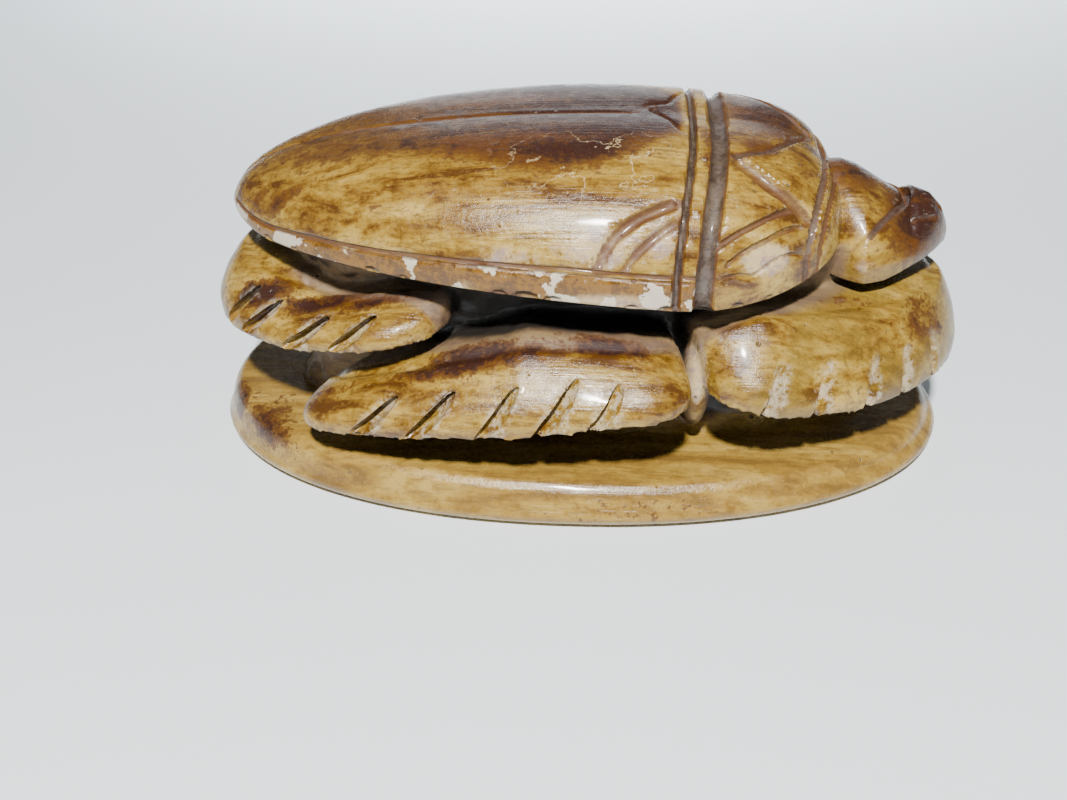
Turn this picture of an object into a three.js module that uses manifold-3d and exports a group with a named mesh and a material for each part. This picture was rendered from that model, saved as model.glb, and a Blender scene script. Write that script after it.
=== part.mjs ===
// Carved scarab beetle standing on its oval ground, one solid of polished soapstone.
// Millimetres. +X points to the beetle's head, +Y to its left side, +Z up.
// The origin is at the centre of the flat underside.
import * as THREE from 'three';
import { mergeVertices } from 'three/addons/utils/BufferGeometryUtils.js';
import Module from 'manifold-3d';

const wasm = await Module();
wasm.setup();

// ---- driving dimensions ----

// Oval ground slab. Its upper levels drop by `tilt` for each millimetre toward the head.
const ground = {
  centreX: -0.4,
  halfLength: 55.3,
  halfWidth: 32.3,
  fullness: 2.15,
  tilt: 0.02,
  soleInset: 3.2,
  footZ: 1.9,
  bandTopZ: 4.9,
  arrisZ: 6.2,
  arrisInset: 1.0,
  crown: 0.6,
};

// Column of uncut stone that joins the ground, the legs and the beetle.
const core = {
  centreX: -1,
  halfLength: 41,
  halfWidth: 15.5,
  fullness: 2.3,
  bottomZ: 4,
  topZ: 33,
};

// Wing cases and prothorax, one low dome over a sharp lower rim.
const shell = {
  tailX: -50.5,
  widestX: 5,
  frontX: 37,
  halfWidth: 25.2,
  tailTaper: 0.56,
  frontFullness: 2.4,
  crestZ: 48.5,
  crestX: 3,
  crestFall: 0.0038,
  tailZ: 34,
  tailRise: 0.42,
  rimDipX: 17,
  rimDipZ: 30.1,
  sideFullness: 2.65,
  topFullness: 2.2,
  bellyDepth: 3,
  leftSwell: 0.05,
  leftSwellFront: 0.09,
};

// Head with its flat, shovel-shaped front plate.
const head = {
  backX: 33,
  widestX: 39,
  tipX: 52.3,
  halfWidth: 12.6,
  taper: 1.6,
  pointedness: 0.68,
  crestZ: 41.2,
  crestFall: 0.55,
  rimZ: 28.6,
  rimRise: 0.22,
  bellyDepth: 1.4,
};

// Legs: sloping ledges round an oval. Each is undercut below and steps up to the core.
const frontLegs = {
  oval: { centreX: -4, halfLength: 59.7, halfWidth: 32.1, fullness: 2 },
  kneeX: 20.6,
  ledge: 18,
  endRadius: 6,
  steps: 28,
};
const middleLegs = {
  oval: { centreX: -4, halfLength: 56.5, halfWidth: 32.1, fullness: 2.05 },
  kneeX: 18.2,
  tipX: -41,
  ledge: 18,
  endRadius: 6.5,
  steps: 15,
};
const rearLegs = {
  oval: { centreX: -4, halfLength: 50, halfWidth: 26, fullness: 2.3 },
  kneeX: -19.2,
  ledge: 14,
  endRadius: 7,
  steps: 24,
};

// Gouged notches along each leg: place along the edge (x), width, run up the slope, lean ahead.
const frontNotches = { xs: [25.2, 31.9, 38.9, 44.3, 50.2], width: 1.9, run: 6, lean: 2.5 };
const middleNotches = { xs: [-28.6, -20.8, -12.4, -5, 2.2], width: 1.9, run: 6.2, lean: 5.2 };
const rearNotches = { xs: [-49.4, -45, -38, -30.3], width: 2.2, run: 4.6, lean: 2.6 };

// Carved lines on the back.
const collar = { rearX: 15.4, frontX: 18.9, bow: 2.2, rearWidth: 1.2, frontWidth: 2, depth: 0.95 };
const zigzag = { rearX: 19.3, frontX: 32, innerY: 12.2, sideX: 29.6, sideY: 15.6, rimX: 18, rimY: 22.2 };
const zigzagCut = { width: 1.7, depth: 0.8 };
const frontRidge = { x: 33.9, bow: 3.2, width: 1.4, depth: 0.75 };
const suture = { y: -1.4, fromX: -48, toX: 8 };
const scutellum = { tipX: 7.2, rearX: 14.2, halfWidth: 7 };
const fineCut = { width: 1, depth: 0.5 };
const shoulder = { topX: 13.4, topY: 19, outerX: 3.4, innerX: 6.8, rimY: 24.4 };
const cheekLine = { share: 0.36, sweep: 0.42, width: 1.6, depth: 0.85 };

// ---- small helpers ----

const signedPower = (value, power) => Math.sign(value) * Math.abs(value) ** power;

// Point on a superellipse; angle 0 is toward the head. An inset shrinks both half-axes.
function ovalPoint(oval, angle, inset = 0) {
  const power = 2 / oval.fullness;
  return [
    oval.centreX + (oval.halfLength - inset) * signedPower(Math.cos(angle), power),
    (oval.halfWidth - inset) * signedPower(Math.sin(angle), power),
  ];
}

// Angle at which that superellipse passes a given x on the +Y side.
function ovalAngle(oval, x) {
  const reach = (x - oval.centreX) / oval.halfLength;
  return Math.acos(signedPower(reach, oval.fullness / 2));
}

// Closes a three.js geometry into one body with its faces pointing out.
function toSolid(geometry) {
  geometry.deleteAttribute('normal');
  geometry.deleteAttribute('uv');
  const merged = mergeVertices(geometry, 1e-4);
  const position = merged.getAttribute('position');
  const corners = merged.getIndex().array;
  const triangles = [];
  let volume = 0;
  const [a, b, c] = [new THREE.Vector3(), new THREE.Vector3(), new THREE.Vector3()];
  for (let i = 0; i < corners.length; i += 3) {
    const [p, q, r] = [corners[i], corners[i + 1], corners[i + 2]];
    if (p === q || q === r || r === p) continue;
    triangles.push([p, q, r]);
    a.fromBufferAttribute(position, p);
    b.fromBufferAttribute(position, q);
    c.fromBufferAttribute(position, r);
    volume += a.dot(b.cross(c));
  }
  const facing = volume < 0 ? triangles.map(([p, q, r]) => [p, r, q]) : triangles;
  return new wasm.Manifold(new wasm.Mesh({
    numProp: 3,
    vertProperties: new Float32Array(position.array),
    triVerts: new Uint32Array(facing.flat()),
  }));
}

// Moves every vertex of a geometry with a function of its old place.
function reshape(geometry, move) {
  const position = geometry.getAttribute('position');
  const point = new THREE.Vector3();
  for (let i = 0; i < position.count; i++) {
    const [x, y, z] = move(point.fromBufferAttribute(position, i), i);
    position.setXYZ(i, x, y, z);
  }
  return geometry;
}

// Stack of ovals: each ring is { inset, z } or { centre: true, z } on the axis.
function ovalStack(oval, rings, segments, heightAt) {
  const profile = rings.map((ring, i) => new THREE.Vector2(ring.centre ? 0 : 1, i));
  const lathe = new THREE.LatheGeometry(profile, segments);
  return reshape(lathe, (point, i) => {
    const ring = rings[i % rings.length];
    const angle = 2 * Math.PI * Math.floor(i / rings.length) / segments;
    const [x, y] = ring.centre ? [oval.centreX, 0] : ovalPoint(oval, angle, ring.inset);
    return [x, y, heightAt(ring, x)];
  });
}

// ---- ground and core ----

function groundSlab() {
  const rings = [
    { centre: true, z: 0 },
    { inset: ground.soleInset, z: 0 },
    { inset: 1.2, z: 0.7 },
    { inset: 0.3, z: ground.footZ },
    { inset: 0, z: ground.footZ + 1.2 },
    { inset: 0.15, z: ground.bandTopZ, tilted: true },
    { inset: ground.arrisInset, z: ground.arrisZ, tilted: true },
    { centre: true, z: ground.arrisZ + ground.crown, tilted: true },
  ];
  const slab = ovalStack(ground, rings, 64, (ring, x) => ring.z - (ring.tilted ? ground.tilt * x : 0));
  return toSolid(slab);
}

function coreColumn() {
  const rings = [
    { centre: true, z: core.bottomZ },
    { inset: 0, z: core.bottomZ },
    { inset: 0, z: core.topZ },
    { centre: true, z: core.topZ },
  ];
  return toSolid(ovalStack(core, rings, 40, (ring) => ring.z));
}

// ---- the beetle's back ----

// Share of the way from the widest place to the tail (negative) or the front (positive).
const shellShare = (x) => (x < shell.widestX
  ? (x - shell.widestX) / (shell.widestX - shell.tailX)
  : (x - shell.widestX) / (shell.frontX - shell.widestX));

function shellHalfWidth(x) {
  const share = Math.min(1, Math.abs(shellShare(x)));
  if (x < shell.widestX) return shell.halfWidth * (1 - share ** 2) ** shell.tailTaper;
  return shell.halfWidth * (1 - share ** shell.frontFullness) ** (1 / shell.frontFullness);
}

function shellRimZ(x) {
  const back = shell.rimDipX - x;
  if (back < 0) return shell.rimDipZ + 0.0085 * back * back;
  return shell.rimDipZ + 0.094 * back - 0.00054 * back * back;
}

function shellHeight(x) {
  if (x < shell.crestX) {
    const share = Math.min(1, (shell.crestX - x) / (shell.crestX - shell.tailX));
    const crest = shell.tailZ + (shell.crestZ - shell.tailZ) * (1 - share ** 2) ** shell.tailRise;
    return crest - shellRimZ(x);
  }
  const crest = shell.crestZ - shell.crestFall * (x - shell.crestX) ** 2;
  const share = Math.min(1, Math.max(0, (x - shell.crestX - 5) / (shell.frontX - shell.crestX - 5)));
  return (crest - shellRimZ(x)) * Math.sqrt(1 - share ** 8);
}

// Point on the dome or the belly; angle 0 is the crest, -90 degrees the right-hand rim.
function shellPoint(x, angle) {
  const side = Math.sin(angle);
  const up = Math.cos(angle);
  const halfWidth = shellHalfWidth(x);
  const rimZ = shellRimZ(x);
  if (up < 0) {
    return new THREE.Vector3(x, halfWidth * side, rimZ - shell.bellyDepth * Math.abs(up) ** 1.3);
  }
  const blend = Math.min(1, Math.max(0, (x - shell.tailX) / 30));
  const fullness = 2.2 + (shell.sideFullness - 2.2) * blend;
  const y = halfWidth * signedPower(side, 2 / fullness);
  const ahead = Math.min(1, Math.max(0, (x - 12) / 15));
  const swell = shell.leftSwell + (shell.leftSwellFront - shell.leftSwell) * ahead;
  const lift = y > 0 ? swell * Math.sin(Math.PI * y / halfWidth) : 0;
  return new THREE.Vector3(x, y, rimZ + shellHeight(x) * (up ** (2 / shell.topFullness) + lift));
}

// Angle at which the dome passes a given y.
function shellAngle(x, y) {
  const blend = Math.min(1, Math.max(0, (x - shell.tailX) / 30));
  const fullness = 2.2 + (shell.sideFullness - 2.2) * blend;
  const reach = Math.max(-0.999, Math.min(0.999, y / shellHalfWidth(x)));
  return Math.asin(signedPower(reach, fullness / 2));
}

// Point raised off a surface along its outward normal.
function raised(surface, along, angle, height) {
  const here = surface(along, angle);
  const ahead = surface(along + 0.01, angle).sub(here);
  const round = surface(along, angle + 0.01).sub(here);
  return here.addScaledVector(round.cross(ahead).normalize(), height);
}

// A sphere whose axis lies along the beetle is drawn out into the dome.
function beetleBack() {
  const sphere = new THREE.SphereGeometry(1, 42, 26);
  sphere.rotateZ(-Math.PI / 2);
  return toSolid(reshape(sphere, (point) => {
    const reach = point.x < 0 ? shell.widestX - shell.tailX : shell.frontX - shell.widestX;
    const x = shell.widestX + point.x * reach;
    if (Math.hypot(point.y, point.z) < 1e-6) return [x, 0, shellRimZ(x)];
    return shellPoint(x, Math.atan2(point.y, point.z)).toArray();
  }));
}

function headPoint(share, angle) {
  const reach = share < 0 ? head.widestX - head.backX : head.tipX - head.widestX;
  const x = head.widestX + share * reach;
  const ahead = Math.max(0, x - head.widestX);
  const halfWidth = head.halfWidth * (1 - Math.abs(share) ** head.taper) ** head.pointedness;
  const rimZ = head.rimZ + head.rimRise * Math.max(0, ahead - 3);
  const crest = head.crestZ - head.crestFall * ahead;
  const side = Math.sin(angle);
  const up = Math.cos(angle);
  if (up < 0) return new THREE.Vector3(x, halfWidth * side, rimZ + head.bellyDepth * up);
  const height = (crest - rimZ) * Math.sqrt(1 - Math.abs(share) ** 7);
  return new THREE.Vector3(x, halfWidth * signedPower(side, 0.9), rimZ + height * up ** 0.95);
}

function beetleHead() {
  const sphere = new THREE.SphereGeometry(1, 22, 12);
  sphere.rotateZ(-Math.PI / 2);
  return toSolid(reshape(sphere, (point) => {
    const angle = Math.hypot(point.y, point.z) < 1e-6 ? Math.PI / 2 : Math.atan2(point.y, point.z);
    return headPoint(Math.max(-1, Math.min(1, point.x)), angle).toArray();
  }));
}

// ---- legs ----

// Heights of each ledge at a place along its edge.
function frontLedge(x) {
  const nose = Math.max(0, (x - 40) / 16.4) ** 1.5;
  return {
    edgeZ: 14.9 + 0.0055 * (45 - x) ** 2,
    thickness: 2.4 + 0.6 * nose,
    run: 8.5 - 5 * nose,
    rise: 9.6 - 1.4 * nose,
    shelf: 0.1,
  };
}

function middleLedge(x) {
  const rearward = Math.max(0, -5 - x);
  return {
    edgeZ: 16.4 + 0.105 * x,
    thickness: 2.3,
    run: 7.8,
    rise: 7.9 - 0.18 * rearward,
    shelf: 0.08,
  };
}

function rearLedge(x) {
  const nose = Math.max(0, (-40 - x) / 14.6) ** 1.5;
  return {
    edgeZ: 21 + 0.18 * Math.max(0, x + 41),
    thickness: 2.2 + 0.8 * nose,
    run: 8.5 - 4 * nose,
    rise: 3.8 + 2.6 * nose,
    shelf: 0.12,
  };
}

// Height of a ledge's upper or lower face at a distance in from its edge.
function ledgeZ(ledge, inward, upper) {
  if (!upper) return ledge.edgeZ - 0.6 + 0.12 * inward;
  const edgeRounding = 0.9 * Math.max(0, 1 - inward / 1.2) ** 2;
  const climb = Math.min(1, inward / ledge.run);
  const rise = ledge.rise * climb ** 0.9 + ledge.shelf * Math.max(0, inward - ledge.run);
  return ledge.edgeZ - 0.6 + ledge.thickness - edgeRounding + rise;
}

// One ledge between two angles of its oval, from a box divided along, across and in height.
function legSolid(legs, fromAngle, toAngle, ledgeAt) {
  const inwardSteps = [0, 0.9, 3.8, 8, 12.5, legs.ledge];
  const box = new THREE.BoxGeometry(1, 1, 1, legs.steps, inwardSteps.length - 1, 1);
  const middleRadius = (legs.oval.halfLength + legs.oval.halfWidth) / 2;
  const length = Math.abs(toAngle - fromAngle) * middleRadius;
  return toSolid(reshape(box, (point) => {
    const along = point.x + 0.5;
    const inward = inwardSteps[Math.round((point.y + 0.5) * (inwardSteps.length - 1))];
    const toEnd = Math.min(along, 1 - along) * length;
    const corner = Math.max(0, 1 - toEnd / legs.endRadius);
    const endInset = legs.endRadius * (1 - Math.sqrt(1 - corner ** 2)) * (1 - inward / legs.ledge);
    const angle = fromAngle + (toAngle - fromAngle) * along;
    const [x, y] = ovalPoint(legs.oval, angle, inward + endInset);
    const ledge = ledgeAt(ovalPoint(legs.oval, angle)[0]);
    return [x, y, ledgeZ(ledge, inward, point.z > 0)];
  }));
}

// ---- cutters ----

// Leaf-shaped gouge stroke between two points, eight-faced.
function gouge(from, to, width, depth) {
  const length = from.distanceTo(to);
  const leaf = new THREE.OctahedronGeometry(1);
  leaf.scale(length / 2, width, depth);
  const along = to.clone().sub(from).normalize();
  const across = new THREE.Vector3(0, 0, 1).cross(along).normalize();
  const up = along.clone().cross(across);
  leaf.applyMatrix4(new THREE.Matrix4().makeBasis(along, across, up));
  const middle = from.clone().add(to).multiplyScalar(0.5);
  leaf.translate(middle.x, middle.y, middle.z);
  return toSolid(leaf);
}

function notchCutters(legs, notches, ledgeAt) {
  const cutters = [];
  for (const edgeX of notches.xs) {
    for (const side of [-1, 1]) {
      const angle = side * ovalAngle(legs.oval, edgeX);
      const ledge = ledgeAt(edgeX);
      const [outX, outY] = ovalPoint(legs.oval, angle, -3);
      const [inX, inY] = ovalPoint(legs.oval, angle, notches.run);
      const from = new THREE.Vector3(outX - notches.lean / 2, outY, ledge.edgeZ - 1.2);
      const to = new THREE.Vector3(inX + notches.lean, inY, ledgeZ(ledge, notches.run, true) + 0.3);
      cutters.push(gouge(from, to, notches.width, notches.width));
    }
  }
  return cutters;
}

// V-bottomed channel along a path that already floats above its surface.
function channel(points, halfWidth, steps) {
  const path = new THREE.CatmullRomCurve3(points);
  const section = new THREE.Shape();
  section.moveTo(halfWidth, 0);
  section.lineTo(0, halfWidth);
  section.lineTo(-halfWidth, 0);
  section.lineTo(0, -halfWidth);
  section.closePath();
  return toSolid(new THREE.ExtrudeGeometry(section, { extrudePath: path, steps, bevelEnabled: false }));
}

// Channel round the back from rim to rim, bowed toward the tail at its ends.
function ringLine(x, bow, { width, depth }, steps) {
  const points = [];
  for (let i = 0; i <= steps; i++) {
    const angle = Math.PI * (i / steps - 0.5) * 0.985;
    points.push(raised(shellPoint, x - bow * Math.sin(angle) ** 2, angle, width / 2 - depth));
  }
  return channel(points, width / 2, steps);
}

// Channel over the back through corners given by x and y.
function line(corners, { width, depth }, perStretch) {
  const points = [];
  corners.forEach(([x, y], i) => {
    if (i === 0) return;
    const [fromX, fromY] = corners[i - 1];
    for (let k = i === 1 ? 0 : 1; k <= perStretch; k++) {
      const t = k / perStretch;
      const atX = fromX + (x - fromX) * t;
      const angle = shellAngle(atX, fromY + (y - fromY) * t);
      points.push(raised(shellPoint, atX, angle, width / 2 - depth));
    }
  });
  return channel(points, width / 2, points.length - 1);
}

function backCutters() {
  const rear = { width: collar.rearWidth, depth: collar.depth };
  const front = { width: collar.frontWidth, depth: collar.depth };
  const cutters = [
    ringLine(collar.rearX, collar.bow, rear, 14),
    ringLine(collar.frontX, collar.bow, front, 14),
    ringLine(frontRidge.x, frontRidge.bow, frontRidge, 12),
    line([[suture.fromX, suture.y], [suture.toX, suture.y]], fineCut, 10),
  ];
  for (const side of [-1, 1]) {
    const { rearX, frontX, innerY, sideX, sideY, rimX, rimY } = zigzag;
    cutters.push(
      line([[rearX, side * innerY], [frontX, suture.y]], zigzagCut, 4),
      line([[rearX, side * innerY], [sideX, side * sideY]], zigzagCut, 3),
      line([[rimX, side * rimY], [sideX, side * sideY]], zigzagCut, 4),
      line([[scutellum.tipX, suture.y], [scutellum.rearX, side * scutellum.halfWidth]], fineCut, 2),
    );
    for (const footX of [shoulder.outerX, shoulder.innerX]) {
      const halfX = (footX + shoulder.topX) / 2 - 1.2;
      const halfY = (shoulder.topY + shoulder.rimY) / 2 + 0.2;
      const corners = [[shoulder.topX, shoulder.topY], [halfX, halfY], [footX, shoulder.rimY]];
      const outward = corners.map(([x, y]) => [x, side * y]);
      cutters.push(line(outward, zigzagCut, 3));
    }
  }
  return cutters;
}

// Line that parts the front plate of the head from its cheeks.
function cheekCutter() {
  const points = [];
  for (let i = 0; i <= 12; i++) {
    const angle = Math.PI * (i / 12 - 0.5) * 0.9;
    const share = cheekLine.share - cheekLine.sweep * Math.sin(angle) ** 2;
    points.push(raised(headPoint, share, angle, cheekLine.width / 2 - cheekLine.depth));
  }
  return channel(points, cheekLine.width / 2, 12);
}

// ---- assembly ----

function carvedScarab() {
  const frontAngle = ovalAngle(frontLegs.oval, frontLegs.kneeX);
  const rearAngle = ovalAngle(rearLegs.oval, rearLegs.kneeX);
  const kneeAngle = ovalAngle(middleLegs.oval, middleLegs.kneeX);
  const tipAngle = ovalAngle(middleLegs.oval, middleLegs.tipX);
  const bodies = [
    groundSlab(),
    coreColumn(),
    beetleHead().subtract(cheekCutter()),
    legSolid(frontLegs, -frontAngle, frontAngle, frontLedge),
    legSolid(rearLegs, rearAngle, 2 * Math.PI - rearAngle, rearLedge),
    legSolid(middleLegs, kneeAngle, tipAngle, middleLedge),
    legSolid(middleLegs, -kneeAngle, -tipAngle, middleLedge),
  ];
  let back = beetleBack();
  for (const cutter of backCutters()) back = back.subtract(cutter);
  let solid = bodies.reduce((whole, body) => whole.add(body), back);
  const notches = [
    ...notchCutters(frontLegs, frontNotches, frontLedge),
    ...notchCutters(middleLegs, middleNotches, middleLedge),
    ...notchCutters(rearLegs, rearNotches, rearLedge),
  ];
  for (const cutter of notches) solid = solid.subtract(cutter);
  return solid;
}

function toGeometry(solid) {
  const mesh = solid.getMesh();
  const geometry = new THREE.BufferGeometry();
  geometry.setAttribute('position', new THREE.BufferAttribute(mesh.vertProperties, 3));
  geometry.setIndex(new THREE.BufferAttribute(mesh.triVerts, 1));
  return geometry;
}

const polishedSoapstone = new THREE.MeshStandardMaterial({
  name: 'polishedSoapstone',
  color: 0xb88a3f,
  roughness: 0.35,
  metalness: 0,
});

const scarab = new THREE.Mesh(toGeometry(carvedScarab()), polishedSoapstone);
scarab.name = 'scarab';

const part = new THREE.Group();
part.add(scarab);

export default part;
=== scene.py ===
# Scarab beetle carved from one block of soapstone, stained, hand-polished and worn.
# Shapes are worked out in millimetres and turned to metres at the end.
import math
from functools import partial

import bmesh
import bpy
import numpy as np
from mathutils import Matrix, Vector, noise
from mathutils.kdtree import KDTree


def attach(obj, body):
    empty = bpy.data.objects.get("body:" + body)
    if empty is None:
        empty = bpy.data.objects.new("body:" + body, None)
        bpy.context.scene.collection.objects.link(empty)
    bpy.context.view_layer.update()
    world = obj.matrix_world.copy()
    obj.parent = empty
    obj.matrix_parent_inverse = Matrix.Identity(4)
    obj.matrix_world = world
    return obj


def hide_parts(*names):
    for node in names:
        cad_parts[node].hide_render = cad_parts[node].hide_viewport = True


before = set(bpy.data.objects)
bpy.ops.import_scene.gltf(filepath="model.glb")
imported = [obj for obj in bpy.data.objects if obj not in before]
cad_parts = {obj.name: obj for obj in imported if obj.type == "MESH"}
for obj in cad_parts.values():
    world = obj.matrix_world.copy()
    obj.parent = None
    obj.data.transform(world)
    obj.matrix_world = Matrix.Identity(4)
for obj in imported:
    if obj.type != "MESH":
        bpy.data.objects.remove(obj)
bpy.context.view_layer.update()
print("frame loaded")


def signedPower(value, power):
    return np.sign(value) * np.abs(value) ** power


def clip01(value):
    return np.clip(value, 0.0, 1.0)


def smoothStep(low, high, value):
    t = clip01((value - low) / (high - low))
    return t * t * (3 - 2 * t)


def readPoints(mesh):
    flat = np.empty(len(mesh.vertices) * 3)
    mesh.vertices.foreach_get("co", flat)
    return flat.reshape(-1, 3)


def writePoints(mesh, points):
    mesh.vertices.foreach_set("co", points.ravel())
    mesh.update()


def readNormals(mesh):
    flat = np.empty(len(mesh.vertices) * 3, np.float32)
    mesh.vertex_normals.foreach_get("vector", flat)
    return flat.reshape(-1, 3).astype(float)


def pointOutward(mesh):
    bm = bmesh.new()
    bm.from_mesh(mesh)
    bmesh.ops.recalc_face_normals(bm, faces=bm.faces)
    bm.to_mesh(mesh)
    bm.free()


def toObject(name, bm):
    bmesh.ops.recalc_face_normals(bm, faces=bm.faces)
    mesh = bpy.data.meshes.new(name)
    bm.to_mesh(mesh)
    bm.free()
    piece = bpy.data.objects.new(name, mesh)
    bpy.context.scene.collection.objects.link(piece)
    return piece


def finishModifier(piece, kind, **settings):
    # adds one modifier, applies it and drops the mesh it started from
    modifier = piece.modifiers.new(kind.title(), kind)
    for key, value in settings.items():
        setattr(modifier, key, value)
    graph = bpy.context.evaluated_depsgraph_get()
    mesh = bpy.data.meshes.new_from_object(piece.evaluated_get(graph))
    piece.modifiers.clear()
    old = piece.data
    piece.data = mesh
    bpy.data.meshes.remove(old)


def weld(piece, other, operation):
    finishModifier(piece, "BOOLEAN", operation=operation, solver="MANIFOLD", object=other)
    bpy.data.objects.remove(other)


def joinBodies(name, pieces):
    bm = bmesh.new()
    for piece in pieces:
        bm.from_mesh(piece.data)
        bpy.data.objects.remove(piece)
    return toObject(name, bm)


def spinAround(name, line, steps):
    # turns an open profile, a list of (radius, height), into a closed round body
    bm = bmesh.new()
    rim = [bm.verts.new((r, 0, z)) for r, z in line]
    edges = [bm.edges.new(pair) for pair in zip(rim, rim[1:])]
    bmesh.ops.spin(bm, geom=rim + edges, cent=(0, 0, 0), axis=(0, 0, 1), angle=2 * math.pi,
                   steps=steps, use_merge=True)
    bmesh.ops.remove_doubles(bm, verts=bm.verts, dist=1e-4)
    return toObject(name, bm)


def lumps(points, size, seed):
    # smooth uneven field, about -1 to 1, with hills `size` millimetres wide
    shift = Vector((seed * 17.3, seed * 5.1, seed * 9.7))
    return np.array([noise.noise(Vector(p) / size + shift) for p in points])


ground = {
    "centreX": -0.4, "halfLength": 55.3, "halfWidth": 32.3, "fullness": 2.15, "tilt": 0.02,
    "soleInset": 3.2, "footZ": 2.1,  # rounded foot
    "bandTopZ": 4.9, "bandInset": 1.5,  # side band, leaning in
    "arrisZ": 6.2, "arrisInset": 2.6,  # worn upper edge
    "crown": 0.6, "steps": 300, "swell": (0.14, 14), "ripple": (0.05, 3.5),  # height and width
}


def makeGround():
    width, footZ, bandTopZ = ground["halfWidth"], ground["footZ"], ground["bandTopZ"]
    profile = [(r, 0.0) for r in np.linspace(0, width - ground["soleInset"], 26)]
    for t in np.linspace(0.12, 1, 9):
        inset = ground["soleInset"] * (1 - math.sin(t * math.pi / 2))
        profile.append((width - inset, footZ * (1 - math.cos(t * math.pi / 2))))
    for t in np.linspace(0.15, 1, 7):
        profile.append((width - ground["bandInset"] * t, footZ + (bandTopZ - footZ) * t))
    for t in np.linspace(0.2, 1, 6):
        inset = ground["bandInset"] + (ground["arrisInset"] - ground["bandInset"]) * t ** 1.4
        profile.append((width - inset, bandTopZ + (ground["arrisZ"] - bandTopZ) * t))
    for r in np.linspace(width - ground["arrisInset"] - 0.5, 0, 60):
        share = 1 - (r / (width - 1)) ** 2
        top = ground["arrisZ"] + ground["crown"] * share
        profile.append((r, top + 0.12 * clip01((width - 1.2 - r) / 1.5)))
    slab = spinAround("groundSlab", profile, ground["steps"])
    points = readPoints(slab.data)
    radius = np.hypot(points[:, 0], points[:, 1])
    angle = np.arctan2(points[:, 1], points[:, 0])
    power = 2 / ground["fullness"]
    stretch = (ground["halfLength"] - width) * clip01(radius / (0.55 * width))
    x = ground["centreX"] + (radius + stretch) * signedPower(np.cos(angle), power)
    y = radius * signedPower(np.sin(angle), power)
    z = points[:, 2] - ground["tilt"] * x * smoothStep(2.5, 4.9, points[:, 2])
    writePoints(slab.data, np.stack([x, y, z], 1))
    points = readPoints(slab.data)
    normals = readNormals(slab.data)
    aboveSole = smoothStep(0.8, 3, points[:, 2])  # the sole stays flat
    (swell, swellWidth), (ripple, rippleWidth) = ground["swell"], ground["ripple"]
    uneven = swell * lumps(points, swellWidth, 1) + ripple * lumps(points, rippleWidth, 2)
    writePoints(slab.data, points + normals * ((uneven - 0.1) * aboveSole)[:, None])
    return slab


core = {
    "centreX": -1, "halfLength": 41, "halfWidth": 15.5, "fullness": 2.3, "bottomZ": 4, "topZ": 33,
    "footFlare": 2.2, "topFlare": 1.5, "rings": 56, "steps": 200,
}


def makeCore():
    heights = np.linspace(core["bottomZ"], core["topZ"], core["rings"])
    line = [(0, heights[0])] + [(1, z) for z in heights] + [(0, heights[-1])]
    piece = spinAround("core", line, core["steps"])
    points = readPoints(piece.data)
    radius = np.hypot(points[:, 0], points[:, 1])
    angle = np.arctan2(points[:, 1], points[:, 0])
    power = 2 / core["fullness"]
    z = points[:, 2]
    flare = core["footFlare"] * np.exp(-(z - 6.5) / 1.6) + core["topFlare"] * smoothStep(26, 32, z)
    x = core["centreX"] + (core["halfLength"] + flare) * radius * signedPower(np.cos(angle), power)
    y = (core["halfWidth"] + flare) * radius * signedPower(np.sin(angle), power)
    points = np.stack([x, y, z], 1)
    uneven = 1 + (0.05 * lumps(points, 9, 3) + 0.02 * lumps(points, 3, 4)) * (radius > 0.5)
    points[:, :2] *= uneven[:, None]
    writePoints(piece.data, points)
    return piece


# each pair of legs lies on an oval; two numbers are the leg's own and what the nose or tail adds to it
frontLegs = {
    "centreX": -4, "halfLength": 59.7, "halfWidth": 32.1, "fullness": 2.0, "kneeX": 20.6, "ledge": 18,
    "endRadius": 6, "steps": 260,
    "edgeZ": 14.9, "edgeBow": 0.0055, "lowestX": 45, "noseX": 40, "noseLength": 16.4,
    "thick": (2.4, 0.6), "run": (8.5, -5), "rise": (9.6, -1.4), "fallX": 29, "fall": 0.42, "shelf": 0.1,
}
middleLegs = {
    "centreX": -4, "halfLength": 56.5, "halfWidth": 32.1, "fullness": 2.05, "kneeX": 18.2, "tipX": -41,
    "ledge": 18, "endRadius": 7, "steps": 140,
    "edgeZ": 16.4, "edgeSlope": 0.105, "thick": 2.3, "run": 7.4, "rise": 7.6, "crestX": -7,
    "fallBehind": 0.16, "fallAhead": 0.15, "shelf": 0.06,
}
rearLegs = {
    "centreX": -4, "halfLength": 50, "halfWidth": 26, "fullness": 2.3, "kneeX": -19.2, "ledge": 14,
    "endRadius": 7.5, "steps": 220,
    "edgeZ": 21, "edgeSlope": 0.18, "lowestX": -41, "tailX": -40, "tailLength": 14.6,
    "thick": (2.2, 0.8), "run": (8.5, -4), "rise": (3.8, 2.6), "shelf": 0.12,
}


def ovalPoint(oval, angle, inset):
    power = 2 / oval["fullness"]
    x = oval["centreX"] + (oval["halfLength"] - inset) * signedPower(np.cos(angle), power)
    return x, (oval["halfWidth"] - inset) * signedPower(np.sin(angle), power)


def ovalAngle(oval, x):
    return math.acos(signedPower((x - oval["centreX"]) / oval["halfLength"], oval["fullness"] / 2))


def endedLedge(legs, edge, endShare):
    # the numbers of a ledge that changes toward the nose or the tail
    thick, run, rise = (legs[key][0] + legs[key][1] * endShare for key in ("thick", "run", "rise"))
    return {"edge": edge, "thick": thick, "run": run, "rise": rise, "shelf": legs["shelf"]}


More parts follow.
